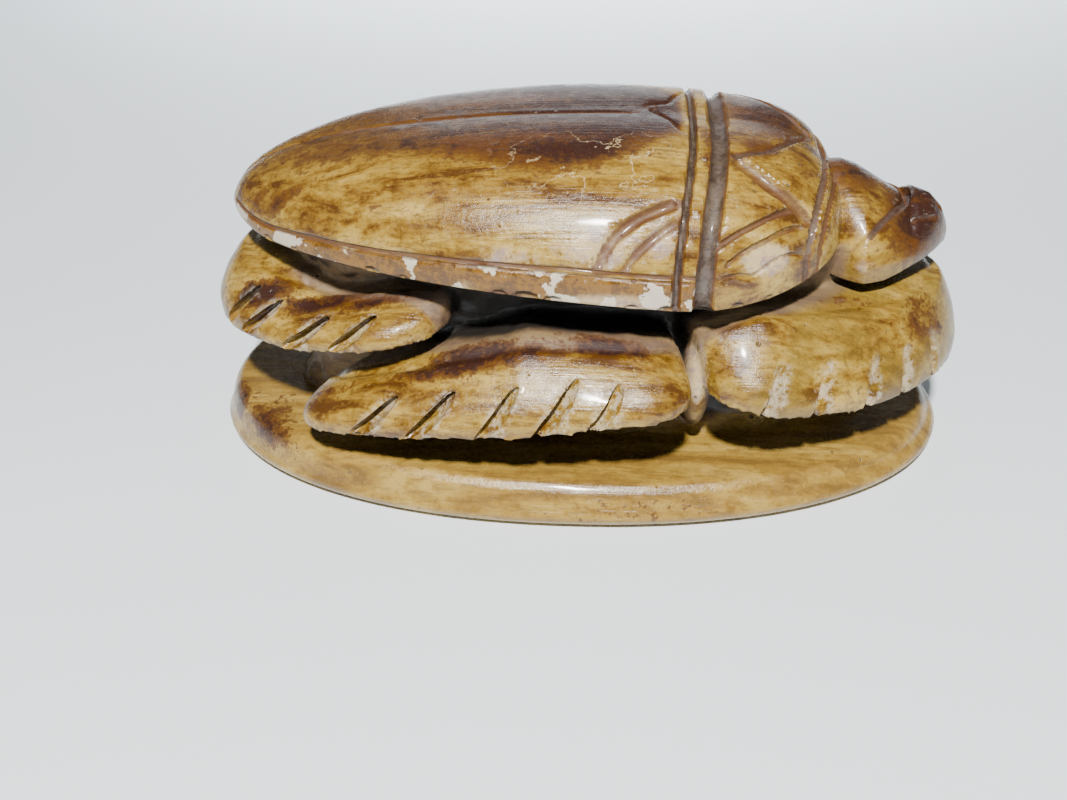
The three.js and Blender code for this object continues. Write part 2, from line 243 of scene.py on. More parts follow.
def frontLedge(x):
    legs = frontLegs
    nose = clip01((x - legs["noseX"]) / legs["noseLength"]) ** 1.5
    ledge = endedLedge(legs, legs["edgeZ"] + legs["edgeBow"] * (legs["lowestX"] - x) ** 2, nose)
    ledge["rise"] = ledge["rise"] - legs["fall"] * np.maximum(0, legs["fallX"] - x)
    return ledge


def middleLedge(x):
    legs = middleLegs
    behind, ahead = np.maximum(0, legs["crestX"] - x), np.maximum(0, x - legs["crestX"])
    rise = legs["rise"] - legs["fallBehind"] * behind - legs["fallAhead"] * ahead
    return {"edge": legs["edgeZ"] + legs["edgeSlope"] * x, "thick": legs["thick"], "run": legs["run"],
            "rise": rise, "shelf": legs["shelf"]}


def rearLedge(x):
    legs = rearLegs
    tail = clip01((legs["tailX"] - x) / legs["tailLength"]) ** 1.5
    return endedLedge(legs, legs["edgeZ"] + legs["edgeSlope"] * np.maximum(0, x - legs["lowestX"]), tail)


ledgeForm = {
    "drop": 0.6, "bulge": 0.09, "creaseDepth": 0.9, "creaseAt": 0.6, "creaseWidth": 0.9,
    "rounding": 1.0, "roundingWidth": 1.3,
}


def ledgeTop(ledge, inward):
    # height of a leg's upper side, `inward` millimetres from its edge
    form = ledgeForm
    climb = np.minimum(1, inward / ledge["run"])
    rise = ledge["rise"] * (climb + form["bulge"] * np.sin(np.pi * climb))
    shelf = ledge["shelf"] * np.maximum(0, inward - ledge["run"])
    fromCrease = (inward - ledge["run"] - form["creaseAt"]) / form["creaseWidth"]
    crease = form["creaseDepth"] * np.exp(-fromCrease ** 2)
    rounding = form["rounding"] * np.maximum(0, 1 - inward / form["roundingWidth"]) ** 2
    return ledge["edge"] - form["drop"] + ledge["thick"] + rise + shelf - crease - rounding


web = {"centre": (16.8, 14.2, 16.0), "reach": (2.6, 8.4, 8.2)}


def makeWebs():
    # the wall of stone left standing between the middle and front legs
    bm = bmesh.new()
    for side in (-1, 1):
        ball = bmesh.ops.create_uvsphere(bm, u_segments=48, v_segments=32, radius=1)["verts"]
        x, y, z = web["centre"]
        place = Matrix.Translation((x, side * y, z)) @ Matrix.Diagonal((*web["reach"], 1))
        bmesh.ops.transform(bm, matrix=place, verts=ball)
    return toObject("webs", bm)


def makeLeg(name, legs, fromAngle, toAngle, ledgeAt):
    # a flat grid of two layers, wrapped along the oval and bent to the ledge
    bm = bmesh.new()
    bmesh.ops.create_grid(bm, x_segments=legs["steps"], y_segments=34, size=1)
    raised = bmesh.ops.extrude_face_region(bm, geom=bm.faces[:], use_keep_orig=True)
    upper = [v for v in raised["geom"] if isinstance(v, bmesh.types.BMVert)]
    bmesh.ops.translate(bm, verts=upper, vec=(0, 0, 1))
    piece = toObject(name, bm)
    points = readPoints(piece.data)
    along = (points[:, 0] + 1) / 2
    inward = legs["ledge"] * ((points[:, 1] + 1) / 2) ** 1.35  # closer rows near the edge
    length = abs(toAngle - fromAngle) * (legs["halfLength"] + legs["halfWidth"]) / 2
    corner = clip01(1 - np.minimum(along, 1 - along) * length / legs["endRadius"])
    endInset = legs["endRadius"] * (1 - np.sqrt(1 - corner ** 2)) * (1 - inward / legs["ledge"])
    angle = fromAngle + (toAngle - fromAngle) * along
    x, y = ovalPoint(legs, angle, inward + endInset)
    edgeX, _ = ovalPoint(legs, angle, 0)
    ledge = ledgeAt(edgeX)
    top = ledgeTop(ledge, inward) - 0.8 * corner ** 2
    bottom = ledge["edge"] - ledgeForm["drop"] + 0.12 * inward + 0.25 * np.minimum(inward, 1) - 0.25
    z = np.where(points[:, 2] > 0.5, top, bottom)
    writePoints(piece.data, np.stack([x, y, z], 1))
    pointOutward(piece.data)
    return piece


# one gouge stroke: (place along the edge, run up the slope, lean toward the head, half-width)
frontNotches = [(26.4, 3.9, 4.0, 1.5), (33.2, 4.1, 4.4, 1.6), (40.6, 4.1, 4.2, 1.5),
                (45.8, 3.9, 3.6, 1.3), (50.6, 3.6, 3.0, 1.2)]
middleNotches = [(-27.6, 3.4, 3.2, 1.7), (-19.6, 3.4, 3.4, 1.8), (-10.2, 3.1, 3.0, 1.8),
                 (-2.4, 3.6, 3.8, 2.0), (4.6, 3.0, 2.8, 1.9)]
rearNotches = [(-49.4, 2.9, 2.0, 1.3), (-46.0, 3.0, 2.4, 1.7), (-38.2, 3.2, 2.8, 1.9),
               (-31.0, 3.2, 2.9, 1.7)]
gouge = {"depth": 0.95, "slant": 0.6, "overrun": 3.2, "rearOverrun": 3.0}


def allNotches():
    # every stroke on both sides: its legs, angle on the oval, ledge there, run, lean and half-width
    rows = [(frontLegs, frontNotches, frontLedge), (middleLegs, middleNotches, middleLedge),
            (rearLegs, rearNotches, rearLedge)]
    for legs, notches, ledgeAt in rows:
        for edgeX, run, lean, halfWidth in notches:
            for side in (-1, 1):
                yield legs, side * ovalAngle(legs, edgeX), ledgeAt(edgeX), run, lean, halfWidth


def makeNotchCutters():
    # leaf-shaped scoops with a steep wall on the tail side and a floor that rises toward the head
    bm = bmesh.new()
    for legs, angle, ledge, run, lean, halfWidth in allNotches():
        overrun = gouge["rearOverrun"] if legs is rearLegs else gouge["overrun"]
        outX, outY = ovalPoint(legs, angle, -overrun)
        inX, inY = ovalPoint(legs, angle, run)
        fall = (ledgeTop(ledge, run) - ledge["edge"]) / run * overrun
        start = Vector((outX - lean * overrun / run, outY, ledge["edge"] - 0.6 * fall - 0.3))
        end = Vector((inX + lean, inY, ledgeTop(ledge, run) + 0.5))
        leafLength = (end - start).length
        forward = (end - start).normalized()
        across = Vector((0, 0, 1)).cross(forward).normalized()
        across = across if across.x > 0 else -across
        up = across.cross(forward)
        up = up if up.z > 0 else -up
        leaf = bmesh.ops.create_uvsphere(bm, u_segments=24, v_segments=16, radius=1)["verts"]
        for v in leaf:
            v.co.x = halfWidth * (v.co.x + gouge["slant"] * v.co.y)
            v.co.y *= gouge["depth"]
            v.co.z *= leafLength / 2
        turn = Matrix((across, up, forward)).transposed().to_4x4()
        bmesh.ops.transform(bm, matrix=Matrix.Translation((start + end) / 2) @ turn, verts=leaf)
    return toObject("notchCutters", bm)


footprint = {"centreX": -4, "halfLength": 59, "halfWidth": 32.1}  # oval round all the legs


def insideShare(points):
    # 0 on the footprint's edge, 1 at its middle
    along = (points[:, 0] - footprint["centreX"]) / footprint["halfLength"]
    return 1 - np.sqrt(along ** 2 + (points[:, 1] / footprint["halfWidth"]) ** 2)


def hollowShare(points, normals):
    # 1 where the tool could reach but the polishing cloth could not
    deep = smoothStep(0.26, 0.34, insideShare(points))
    under = smoothStep(0.1, 0.5, -normals[:, 2])
    return np.maximum(deep, under)


underbody = {"voxel": 0.4, "softening": 0.5, "passes": 4}


def makeUnderbody():
    frontAngle = ovalAngle(frontLegs, frontLegs["kneeX"])
    rearAngle = ovalAngle(rearLegs, rearLegs["kneeX"])
    kneeAngle = ovalAngle(middleLegs, middleLegs["kneeX"])
    tipAngle = ovalAngle(middleLegs, middleLegs["tipX"])
    legs = [
        makeLeg("frontLegs", frontLegs, -frontAngle, frontAngle, frontLedge),
        makeLeg("rearLegs", rearLegs, rearAngle, 2 * math.pi - rearAngle, rearLedge),
        makeLeg("leftMiddleLeg", middleLegs, kneeAngle, tipAngle, middleLedge),
        makeLeg("rightMiddleLeg", middleLegs, -kneeAngle, -tipAngle, middleLedge),
        makeCore(),
        makeWebs(),
    ]
    under = joinBodies("underbody", legs)
    finishModifier(under, "REMESH", mode="VOXEL", voxel_size=underbody["voxel"])
    finishModifier(under, "SMOOTH", factor=underbody["softening"], iterations=underbody["passes"])
    weld(under, makeNotchCutters(), "DIFFERENCE")
    points = readPoints(under.data)
    normals = readNormals(under.data)
    hollow = hollowShare(points, normals)
    rough = 0.35 * lumps(points, 4.5, 5) + 0.16 * lumps(points, 1.6, 6)
    smooth = 0.16 * lumps(points, 10, 7) + 0.04 * lumps(points, 2.6, 8)
    shift = rough * hollow + smooth * (1 - hollow) - 0.05
    writePoints(under.data, points + normals * shift[:, None])
    return under


# the back: wing cases and prothorax in one form
back = {
    "tailX": -50.5, "widestX": 5, "frontX": 37, "halfWidth": 25.2, "tailTaper": 0.56, "frontFullness": 2.4,
    "crestZ": 48.45, "crestX": 3, "crestFall": 0.0038, "tailZ": 34, "tailRise": 0.42, "frontEase": 5,
    "rimDipX": 17, "rimDipZ": 30.1, "rimRiseAhead": 0.0085, "rimRiseBehind": (0.094, -0.00054),
    "tailCut": 1.8, "tailCutX": -43, "tailCutRun": 7.5,
    "tailFullness": 2.2, "sideFullness": 2.65, "fullnessRun": 30, "topFullness": 2.2, "bellyDepth": 3,
    "swell": 0.05, "swellFront": 0.09, "swellX": 12, "swellRun": 15,  # the left half bulges a little
    "around": 400, "along": 240,
}


def backHalfWidth(x):
    rear = clip01((back["widestX"] - x) / (back["widestX"] - back["tailX"]))
    fore = clip01((x - back["widestX"]) / (back["frontX"] - back["widestX"]))
    behind = (1 - rear ** 2) ** back["tailTaper"]
    ahead = (1 - fore ** back["frontFullness"]) ** (1 / back["frontFullness"])
    return back["halfWidth"] * np.where(x < back["widestX"], behind, ahead)


def backRimZ(x):
    d = back["rimDipX"] - x
    tail = back["tailCut"] * clip01((back["tailCutX"] - x) / back["tailCutRun"]) ** 1.6
    slope, bow = back["rimRiseBehind"]
    return back["rimDipZ"] + tail + np.where(d < 0, back["rimRiseAhead"] * d * d, slope * d + bow * d * d)


def backHeight(x):
    rear = clip01((back["crestX"] - x) / (back["crestX"] - back["tailX"]))
    behind = back["tailZ"] + (back["crestZ"] - back["tailZ"]) * (1 - rear ** 2) ** back["tailRise"]
    ahead = back["crestZ"] - back["crestFall"] * (x - back["crestX"]) ** 2
    ease = back["frontEase"]
    fore = clip01((x - back["crestX"] - ease) / (back["frontX"] - back["crestX"] - ease))
    crest = np.where(x < back["crestX"], behind, ahead)
    return (crest - backRimZ(x)) * np.sqrt(1 - fore ** 8)


def backFullness(x):
    share = clip01((x - back["tailX"]) / back["fullnessRun"])
    return back["tailFullness"] + (back["sideFullness"] - back["tailFullness"]) * share


def backPoint(x, angle):
    # angle 0 is the crest, -90 degrees the right-hand rim
    side, up = np.sin(angle), np.cos(angle)
    halfWidth, rimZ = backHalfWidth(x), backRimZ(x)
    onTop = up >= 0
    lifted = clip01(up) ** (2 / back["topFullness"])
    y = halfWidth * np.where(onTop, signedPower(side, 2 / backFullness(x)), side)
    ahead = clip01((x - back["swellX"]) / back["swellRun"])
    swell = back["swell"] + (back["swellFront"] - back["swell"]) * ahead
    lift = np.where(y > 0, swell * np.sin(np.pi * clip01(y / np.maximum(halfWidth, 1e-6))), 0)
    top = rimZ + backHeight(x) * (lifted + lift * onTop)
    belly = rimZ - back["bellyDepth"] * clip01(-up) ** 1.3
    return np.stack([x, y, np.where(onTop, top, belly)], -1)


def backAngle(x, y):
    reach = np.clip(y / backHalfWidth(x), -0.999, 0.999)
    return np.arcsin(signedPower(reach, backFullness(x) / 2))


def ringStroke(x, bow):
    angle = np.linspace(-math.pi / 2, math.pi / 2, 700) * 0.995
    return backPoint(x - bow * np.sin(angle) ** 2, angle)


def lineStroke(corners):
    corners = np.array(corners, float)
    steps = np.linspace(0, len(corners) - 1, 60 * (len(corners) - 1) + 1)
    x = np.interp(steps, range(len(corners)), corners[:, 0])
    y = np.interp(steps, range(len(corners)), corners[:, 1])
    if len(corners) > 2:  # rounds the corners of a freehand stroke
        kernel = np.hanning(41) / np.hanning(41).sum()
        x = np.convolve(np.pad(x, 20, "edge"), kernel, "valid")
        y = np.convolve(np.pad(y, 20, "edge"), kernel, "valid")
    return backPoint(x, backAngle(x, y))


def bandShape(x):
    return 0.3 + 0.7 * clip01((x + 50) / 50) ** 0.8  # the rim band narrows toward the tail


def rimStroke(above, fromX, toX, side):
    x = np.linspace(fromX, toX, 900)
    above = above * bandShape(x)
    share = np.clip(above / np.maximum(backHeight(x), 0.1), 0, 1) ** (back["topFullness"] / 2)
    return backPoint(x, side * np.arccos(share))


def mirrored(corners, side):
    return [(x, side * y) for x, y in corners]


sutureY = -1.4  # the middle line is carved a little to the right
# mirrored strokes: (x, y) corners, half-width, depth, taper at the ends, dirt
# a y of 0 or less is measured from the middle line
sideStrokes = [
    ([(20, 11.6), (25.6, 8.4), (32.2, -0.4)], 0.6, 0.6, 1, 0.9),  # zigzag across the prothorax
    ([(20.2, 11.8), (25.2, 15.0), (30.4, 16.0)], 1.15, 0.85, 1, 0.6),
    ([(18, 22.3), (22.9, 19.5), (28.4, 15.9)], 0.5, 0.55, 1, 0.8),
    ([(19, 23.0), (24.2, 20.2), (29.6, 16.6)], 0.42, 0.5, 1, 0.6),
    ([(18, 23.6), (23.2, 22.0), (30.2, 17.6)], 0.32, 0.3, 2, 0.5),
    ([(8.5, 0), (12, 2.6), (14.2, 7.4)], 0.36, 0.3, 2, 0.5),  # scutellum
    ([(13.1, 19.6), (8.4, 21.4), (5.1, 23.1), (3.1, 24.7)], 1.0, 0.75, 2, 0.65),  # shoulder arcs
    ([(13.3, 21.2), (9.3, 23.3), (6.4, 24.7)], 0.75, 0.65, 2, 0.6),
]


def backStrokes():
    # (points, half-width, depth, taper at the ends, dirt)
    strokes = [
        (ringStroke(15.4, 2.2), 0.6, 0.95, 0, 1.0),
        (ringStroke(18.9, 2.2), 1.35, 1.15, 0, 1.0),
        (ringStroke(33.6, 3.4), 0.6, 0.75, 0, 0.9),
        (ringStroke(35.3, 3.2), 0.5, 0.42, 0, 0.8),
        (lineStroke([(-49, 0.2), (-38, -0.6), (-20, sutureY), (9, sutureY)]), 0.4, 0.34, 3, 1.0),
    ]
    for side in (-1, 1):
        middle = -side * sutureY
        for corners, halfWidth, depth, taper, dirt in sideStrokes:
            corners = [(x, middle + y if y <= 0 else y) for x, y in corners]
            strokes.append((lineStroke(mirrored(corners, side)), halfWidth, depth, taper, dirt))
        strokes += [
            (rimStroke(4.4, -49, 17, side), 0.3, 0.3, 1, 0.7),
            (rimStroke(3.7, -48.5, 17, side), 0.26, 0.22, 1, 0.5),
        ]
    return strokes


# rough ellipsoids of the back and the head, which say which way is out of the stone
forms = {"centre": [(5, 0, 31), (38, 0, 30)], "reach": [(55, 25, 17), (14, 12.6, 11)], "headX": 37.5}


def strokeDistance(points, stroke, reach):
    # sideways distance to a stroke and the place along it, for points near it
    low, high = stroke.min(0) - reach, stroke.max(0) + reach
    near = np.nonzero(((points > low) & (points < high)).all(1))[0]
    tree = KDTree(len(stroke))
    for i, p in enumerate(stroke):
        tree.insert(p, i)
    tree.balance()
    nearest = np.array([tree.find(points[i])[1] for i in near], int)
    distance = np.full(len(points), np.inf)
    place = np.zeros(len(points))
    if len(near):
        onStroke = stroke[nearest]
        form = (onStroke[:, 0] > forms["headX"]).astype(int)
        outward = (onStroke - np.array(forms["centre"])[form]) / np.array(forms["reach"])[form] ** 2
        outward /= np.linalg.norm(outward, axis=1)[:, None]
        away = points[near] - onStroke
        depth = (away * outward).sum(1)
        sideways = np.linalg.norm(away - np.clip(depth, -1.6, 0.3)[:, None] * outward, axis=1)
        distance[near] = sideways
        place[near] = nearest
    return distance, place / (len(stroke) - 1)


def sinkStrokes(points, normals, strokes):
    sink = np.zeros(len(points))
    for number, (stroke, halfWidth, depth, taper, _) in enumerate(strokes):
        distance, place = strokeDistance(points, stroke, halfWidth * 1.3)
        length = np.linalg.norm(np.diff(stroke, axis=0), axis=1).sum()
        ends = clip01(np.minimum(place, 1 - place) * length / taper) if taper else 1.0
        slow, fast = place * length * 0.35 + number * 2.1, place * length * 1.3 + number
        wobble = 1 + 0.1 * np.sin(slow) + 0.05 * np.sin(fast)  # an uneven hand
        t = distance / (halfWidth * wobble)
        cut = depth * np.where(t < 1, 1 - np.where(t < 1, t, 0) ** 2.6, 0) * np.sqrt(ends)
        sink = np.maximum(sink, cut)
    return points - normals * sink[:, None]


topShare = 0.72  # share of the rows round a shell that lies above its rim


def sphereShell(name, around, along, place):
    # a closed sphere whose points are put in place by their share along it and angle round it
    bm = bmesh.new()
    bmesh.ops.create_uvsphere(bm, u_segments=around, v_segments=along, radius=1)
    piece = toObject(name, bm)
    points = readPoints(piece.data)
    share = np.clip(points[:, 2], -1, 1)
    angle = np.arctan2(points[:, 1], points[:, 0])
    part = np.abs(angle) / math.pi
    below = 1 + (part - topShare) / (1 - topShare)
    angle = np.sign(angle) * np.where(part < topShare, part / topShare, below) * math.pi / 2
    angle = np.where(part >= 0.9999, math.pi, angle)
    pole = np.abs(share) > 0.999999
    share = np.where(pole, np.sign(share), 0.6 * share + 0.4 * np.arcsin(share) / (math.pi / 2))
    writePoints(piece.data, place(share, np.where(pole, math.pi / 2, angle)))
    pointOutward(piece.data)
    return piece


def placeOnBack(share, angle):
    reach = np.where(share < 0, back["widestX"] - back["tailX"], back["frontX"] - back["widestX"])
    return backPoint(back["widestX"] + share * reach, angle)


# nicks in the sharp lower rim: (x, size); the right-hand ones first, then the left-hand ones
rimNicks = [
    [(-43, 0.7), (-38.5, 0.5), (-27, 0.8), (-22.5, 0.5), (-9.5, 0.7), (-6.2, 1.1), (-2.6, 0.8), (7.6, 0.6),
     (12.2, 0.8), (21.5, 0.7), (25.6, 0.5)],
    [(-45, 0.6), (-34, 0.9), (-20, 0.7), (-17.5, 0.5), (-4, 0.8), (4.5, 0.6), (19, 0.9), (27, 0.6)],
]


def nickRim(points):
    for side, nicks in zip((-1, 1), rimNicks):
        for x, size in nicks:
            y = side * float(backHalfWidth(np.array(x)))
            centre = np.array([x, y + side * size * 0.35, float(backRimZ(np.array(x))) - size * 0.2])
            away = points - centre
            distance = np.linalg.norm(away * [0.55, 1, 1], axis=1)
            inside = distance < size
            away[inside] *= (size / np.maximum(distance[inside], 1e-3))[:, None]
            points[inside] = centre + away[inside]
    return points


def makeBack():
    piece = sphereShell("back", back["around"], back["along"], placeOnBack)
    points = readPoints(piece.data)
    normals = readNormals(piece.data)
    points = sinkStrokes(points, normals, backStrokes())
    uneven = 0.1 * lumps(points, 11, 9) + 0.035 * lumps(points, 3, 10) - 0.03
    points = points + normals * uneven[:, None]
    writePoints(piece.data, nickRim(points))
    return piece


head = {
    "backX": 30, "widestX": 39, "tipX": 52.3, "halfWidth": 12.6, "taper": 1.35, "pointedness": 0.7,
    "crest": [(30, 41.2), (36.6, 41.2), (39, 40.2), (45.6, 36.1),  # x and height of the ridge
              (46.8, 36.9), (49.2, 36.4), (51, 35.1), (52.3, 33.4)],
    "rimZ": 28.6, "rimRise": 0.22, "bellyDepth": 1.4, "cheek": (0.52, 0.72), "cheekSpan": 0.62,
    "plateRaise": 0.4, "around": 260, "along": 130,
}


def headPoint(share, angle):
    reach = np.where(share < 0, head["widestX"] - head["backX"], head["tipX"] - head["widestX"])
    x = head["widestX"] + share * reach
    ahead = np.maximum(0, x - head["widestX"])
    halfWidth = head["halfWidth"] * (1 - np.abs(share) ** head["taper"]) ** head["pointedness"]
    rimZ = head["rimZ"] + head["rimRise"] * np.maximum(0, ahead - 3)
    crest = np.interp(x, *zip(*head["crest"]))
    side, up = np.sin(angle), np.cos(angle)
    height = (crest - rimZ) * np.sqrt(1 - np.abs(share) ** 16)
    y = halfWidth * side
    z = rimZ + np.where(up >= 0, height * clip01(up) ** 1.15, -head["bellyDepth"] * clip01(-up))
    return np.stack([x, y, z], -1)


def cheekShare(angle):
    # the line between cheeks and plate: far forward on the crest, farther back at the sides
    onCrest, sweep = head["cheek"]
    return onCrest - sweep * np.sin(angle) ** 2


def headStrokes():
    angle = np.linspace(-math.pi / 2, math.pi / 2, 400) * head["cheekSpan"]
    strokes = [(headPoint(cheekShare(angle), angle), 0.55, 0.6, 3, 0.9)]
    for side in (-1, 1):
        for offset, start in ((0.25, 0.6), (0.7, 0.5)):
            share = np.linspace(start, start + 0.3, 60)
            strokes.append((headPoint(share, side * (offset + 0.2 * (share - start))), 0.5, 0.4, 1, 0.5))
    return strokes


def makeHead():
    piece = sphereShell("head", head["around"], head["along"], headPoint)
    points = readPoints(piece.data)
    normals = readNormals(piece.data)
    angle = np.arctan2(points[:, 1], np.maximum(points[:, 2] - 29, 0.01))
    share = (points[:, 0] - head["widestX"]) / (head["tipX"] - head["widestX"])
    plate = smoothStep(0, 0.08, share - cheekShare(angle)) * clip01((0.95 - share) / 0.4)
    plate *= smoothStep(29, 31, points[:, 2])
    points = points + normals * (head["plateRaise"] * plate)[:, None]
    points = sinkStrokes(points, normals, headStrokes())
    uneven = 0.12 * lumps(points, 8, 11) + 0.04 * lumps(points, 2.5, 12) - 0.03
    writePoints(piece.data, points + normals * uneven[:, None])
    return piece


# where the stone is stained, worn, chipped and dirty, and where shade is painted into its colour
# lower edge of the dark stain soaked into each wing case: x and distance from the middle
stainEdge = [(-50, 3.5), (-46, 6.6), (-37.6, 9.7), (-23.4, 10.9), (-12.4, 13.9), (-4.4, 16.0), (3.1, 14.2),
             (10, 9.5), (13.5, 6.4), (15, 5)]
# how deep that stain is: x and strength
stainDepth = [(-50, 0.35), (-38, 0.48), (-26, 0.6), (-16, 0.75), (-6, 0.88), (4, 1.0), (13, 1.0)]
# soft patches: (centre x, y, z), (reach x, y, z), strength
stainPatches = [
    ((25, 4, 46), (7, 9, 5), 0.95), ((24, -8, 46), (3.5, 3, 5), 0.7), ((30, -9, 43), (4, 4, 5), 0.45),
    ((16.9, -9, 47), (1.0, 8, 5), 0.6), ((47.5, -4, 35), (7, 11, 7), 1.0), ((38, 1, 40), (6, 8, 5), 0.85),
    ((41, -6, 36), (2.5, 4, 4), 0.4), ((28, -17, 36), (1.5, 3, 4), 0.45),
    ((-46, -22, 6.5), (6, 10, 3), 1.0), ((-52, -11, 6.5), (3, 6, 3), 0.8),
    ((-48, -26, 4), (3, 5, 3), 0.6), ((-52, -12, 22), (3, 5, 3), 0.5),
    ((-44, -12.4, 25), (7, 2.2, 3), 1.1), ((-35, -15.8, 26), (8, 1.9, 3), 1.1),
    ((-26, -18, 26), (7, 1.6, 3), 1.0), ((-34, -24, 17), (5, 2, 4), 0.6),
    ((-21, -24.5, 21), (7, 2.0, 3), 0.9), ((-14, -24, 22), (9, 3.0, 4), 1.2),
    ((-6, -25, 22), (6, 2.2, 4), 1.1), ((5, -23.4, 24.5), (7, 2.4, 3), 1.0),
    ((12, -23, 25), (4, 2, 3), 0.6), ((50, -12, 24), (6, 4, 5), 0.7), ((38, -14, 28), (7, 3, 3), 0.6),
    ((22, -24, 22), (2, 3, 4), 0.5), ((-5, 24, 20), (22, 3, 4), 0.9), ((-40, 16, 24), (10, 2.4, 4), 0.9),
    ((40, 15, 25), (8, 3, 4), 0.5), ((-30, -20, 35.5), (3, 2, 1.6), 0.5),
    ((-9, -24.6, 32), (4, 2, 1.4), 0.5), ((10, -31, 3), (14, 3, 2), 0.35),
    ((-37, -11.5, 39), (11, 1.3, 4), 0.75), ((-43, -9, 38), (6, 1.2, 4), 0.6),
    ((-14, -17.5, 42), (16, 0.9, 3), 0.5), ((-30, -15, 39), (10, 0.8, 3), 0.45),
    ((23, -15, 42), (4, 1.2, 4), 0.5), ((26, 0, 46), (7, 6, 4), 0.85), ((34.6, -8, 41), (1.4, 9, 4), 0.5),
    ((22, -5, 47), (3, 3, 3), 0.5), ((38, -9, 37), (3, 3, 3), 0.45), ((44, -9, 33), (4, 4, 2.5), 0.5),
]
palePatches = [
    ((3, -23, 38), (7, 2.4, 4), 0.8), ((-8, -23.5, 37), (7, 2, 2.4), 0.6),
    ((11, -22, 38), (3, 3, 6), 0.7), ((25, -21, 36), (5, 3, 2.6), 0.95),
    ((4, -26, 31.5), (11, 2.4, 1.9), 1.0), ((16.8, -23, 33), (1.2, 3, 4), 0.8),
    ((-41, -14, 35), (2.5, 2, 1.3), 0.8), ((-30, -19.5, 35.6), (2.2, 2, 1.3), 0.8),
    ((-48, -7, 35), (2, 3, 1.4), 0.6), ((-14, -24, 33), (3, 2, 1.3), 0.7),
    ((17, -20, 19), (2.4, 6, 6), 0.8), ((-8, 24, 36), (20, 3, 4), 0.55), ((26, 21, 36), (5, 4, 3), 0.6),
    ((39, -12.5, 31), (3, 2, 2), 0.5), ((2, 26, 32), (14, 2, 2), 0.9), ((10, -28, 21), (6, 2, 3), 0.4),
    ((30, -20, 27), (9, 3, 2.5), 0.4), ((14.6, -9, 46), (0.9, 7, 6), 0.5),
]


def patchSum(points, patches):
    total = np.zeros(len(points))
    for centre, reach, strength in patches:
        distance = (((points - centre) / reach) ** 2).sum(1)
        total = np.maximum(total, strength * np.exp(-distance ** 1.3))
    return total


def wingStain(points):
    x, y = points[:, 0], np.abs(points[:, 1] - sutureY * (points[:, 1] < 0))
    edge = np.interp(x, *zip(*stainEdge))
    share = np.interp(x, *zip(*stainDepth)) * (1 - 0.75 * smoothStep(edge - 4.5, edge + 1.5, y))
    share = share * (1 - smoothStep(edge, edge + 6, y))
    return share * smoothStep(34, 37, points[:, 2]) * (1 - smoothStep(13.2, 14.6, x))


def notchShare(points):
    # 1 inside the gouged notches of the legs
    share = np.zeros(len(points))
    for legs, angle, ledge, run, lean, halfWidth in allNotches():
        outX, outY = ovalPoint(legs, angle, 0)
        inX, inY = ovalPoint(legs, angle, run * 0.8)
        start = np.array([outX, outY, ledge["edge"] + 0.3])
        end = np.array([inX + lean * 0.8, inY, ledgeTop(ledge, run * 0.8) - 0.4])
        along = clip01((points - start) @ (end - start) / ((end - start) @ (end - start)))
        distance = np.linalg.norm(points - start - along[:, None] * (end - start), axis=1)
        share = np.maximum(share, 1 - smoothStep(halfWidth * 0.75, halfWidth * 1.1, distance))
    return share


def setMark(mesh, name, values):
    mark = mesh.attributes.new(name, "FLOAT", "POINT")
    mark.data.foreach_set("value", clip01(values).astype(np.float32))


veinedPatches = [((3, -14, 44), (13, 6, 9), 1.0), ((-20, 12, 44), (14, 6, 8), 1.0)]
wear = {
    "rimBandHeight": 3.9, "rimBandFront": 17.5, "shellX": (-51.5, 37.5),
    "upperZ": (29, 31), "slabTopZ": (7.2, 8.2),
}


def markSurface(piece):
    mesh = piece.data
    points = readPoints(mesh) * 1000
    normals = readNormals(mesh)
    x, _, z = points.T
    dirt = np.zeros(len(points))
    lip = np.zeros(len(points))
    for stroke, halfWidth, _, _, grime in backStrokes() + headStrokes():
        distance, _ = strokeDistance(points, stroke, halfWidth + 1.2)
        dirt = np.maximum(dirt, grime * clip01(2.7 - 2.3 * distance / halfWidth))
        lip = np.maximum(lip, np.exp(-((distance - halfWidth - 0.35) / 0.35) ** 2))
    aboveRim = z - backRimZ(x)
    tailX, frontX = wear["shellX"]
    shell = smoothStep(-0.6, 0.4, aboveRim) * (x < frontX) * (x > tailX)
    bandHeight = wear["rimBandHeight"] * bandShape(x)
    band = 1 - smoothStep(bandHeight - 0.3, bandHeight + 0.1, aboveRim)
    under = (1 - shell) * (1 - smoothStep(34, 36, z))
    inside = insideShare(points)
    start = np.interp(x, [-20, -12], [0.29, 0.2])
    shelf = smoothStep(start, start + 0.06, inside) * smoothStep(8, 11, z) * under
    # the recess deep under the back, where shade falls; it feeds the painted shade below
    deep = smoothStep(start + 0.1, start + 0.2, inside) * smoothStep(7, 9.5, z) * under
    belly = smoothStep(0.2, 0.6, -normals[:, 2]) * smoothStep(24, 28, z)
    legUnder = smoothStep(0.3, 0.7, -normals[:, 2]) * smoothStep(8, 10, z)
    upper = smoothStep(*wear["upperZ"], z)
    setMark(mesh, "dirt", dirt)
    setMark(mesh, "lip", lip * (1 - dirt))
    setMark(mesh, "stain", np.maximum(patchSum(points, stainPatches), wingStain(points)))
    setMark(mesh, "upper", upper)
    setMark(mesh, "pale", patchSum(points, palePatches))
    setMark(mesh, "rimBand", shell * band * (x < wear["rimBandFront"]))
    setMark(mesh, "raw", np.maximum(shelf, np.maximum(belly, legUnder)))
    # painted shade: the deep recess, the belly of the back and the undersides of the legs are darkened
    # nearly to black where shade falls
    setMark(mesh, "deep", np.maximum(deep, np.maximum(belly, 0.8 * legUnder)))
    setMark(mesh, "notch", notchShare(points))
    setMark(mesh, "olive", smoothStep(19, 23, x) * smoothStep(12, 14, z) * (1 - upper))
    setMark(mesh, "slab", 1 - smoothStep(*wear["slabTopZ"], z))
    setMark(mesh, "veined", patchSum(points, veinedPatches))


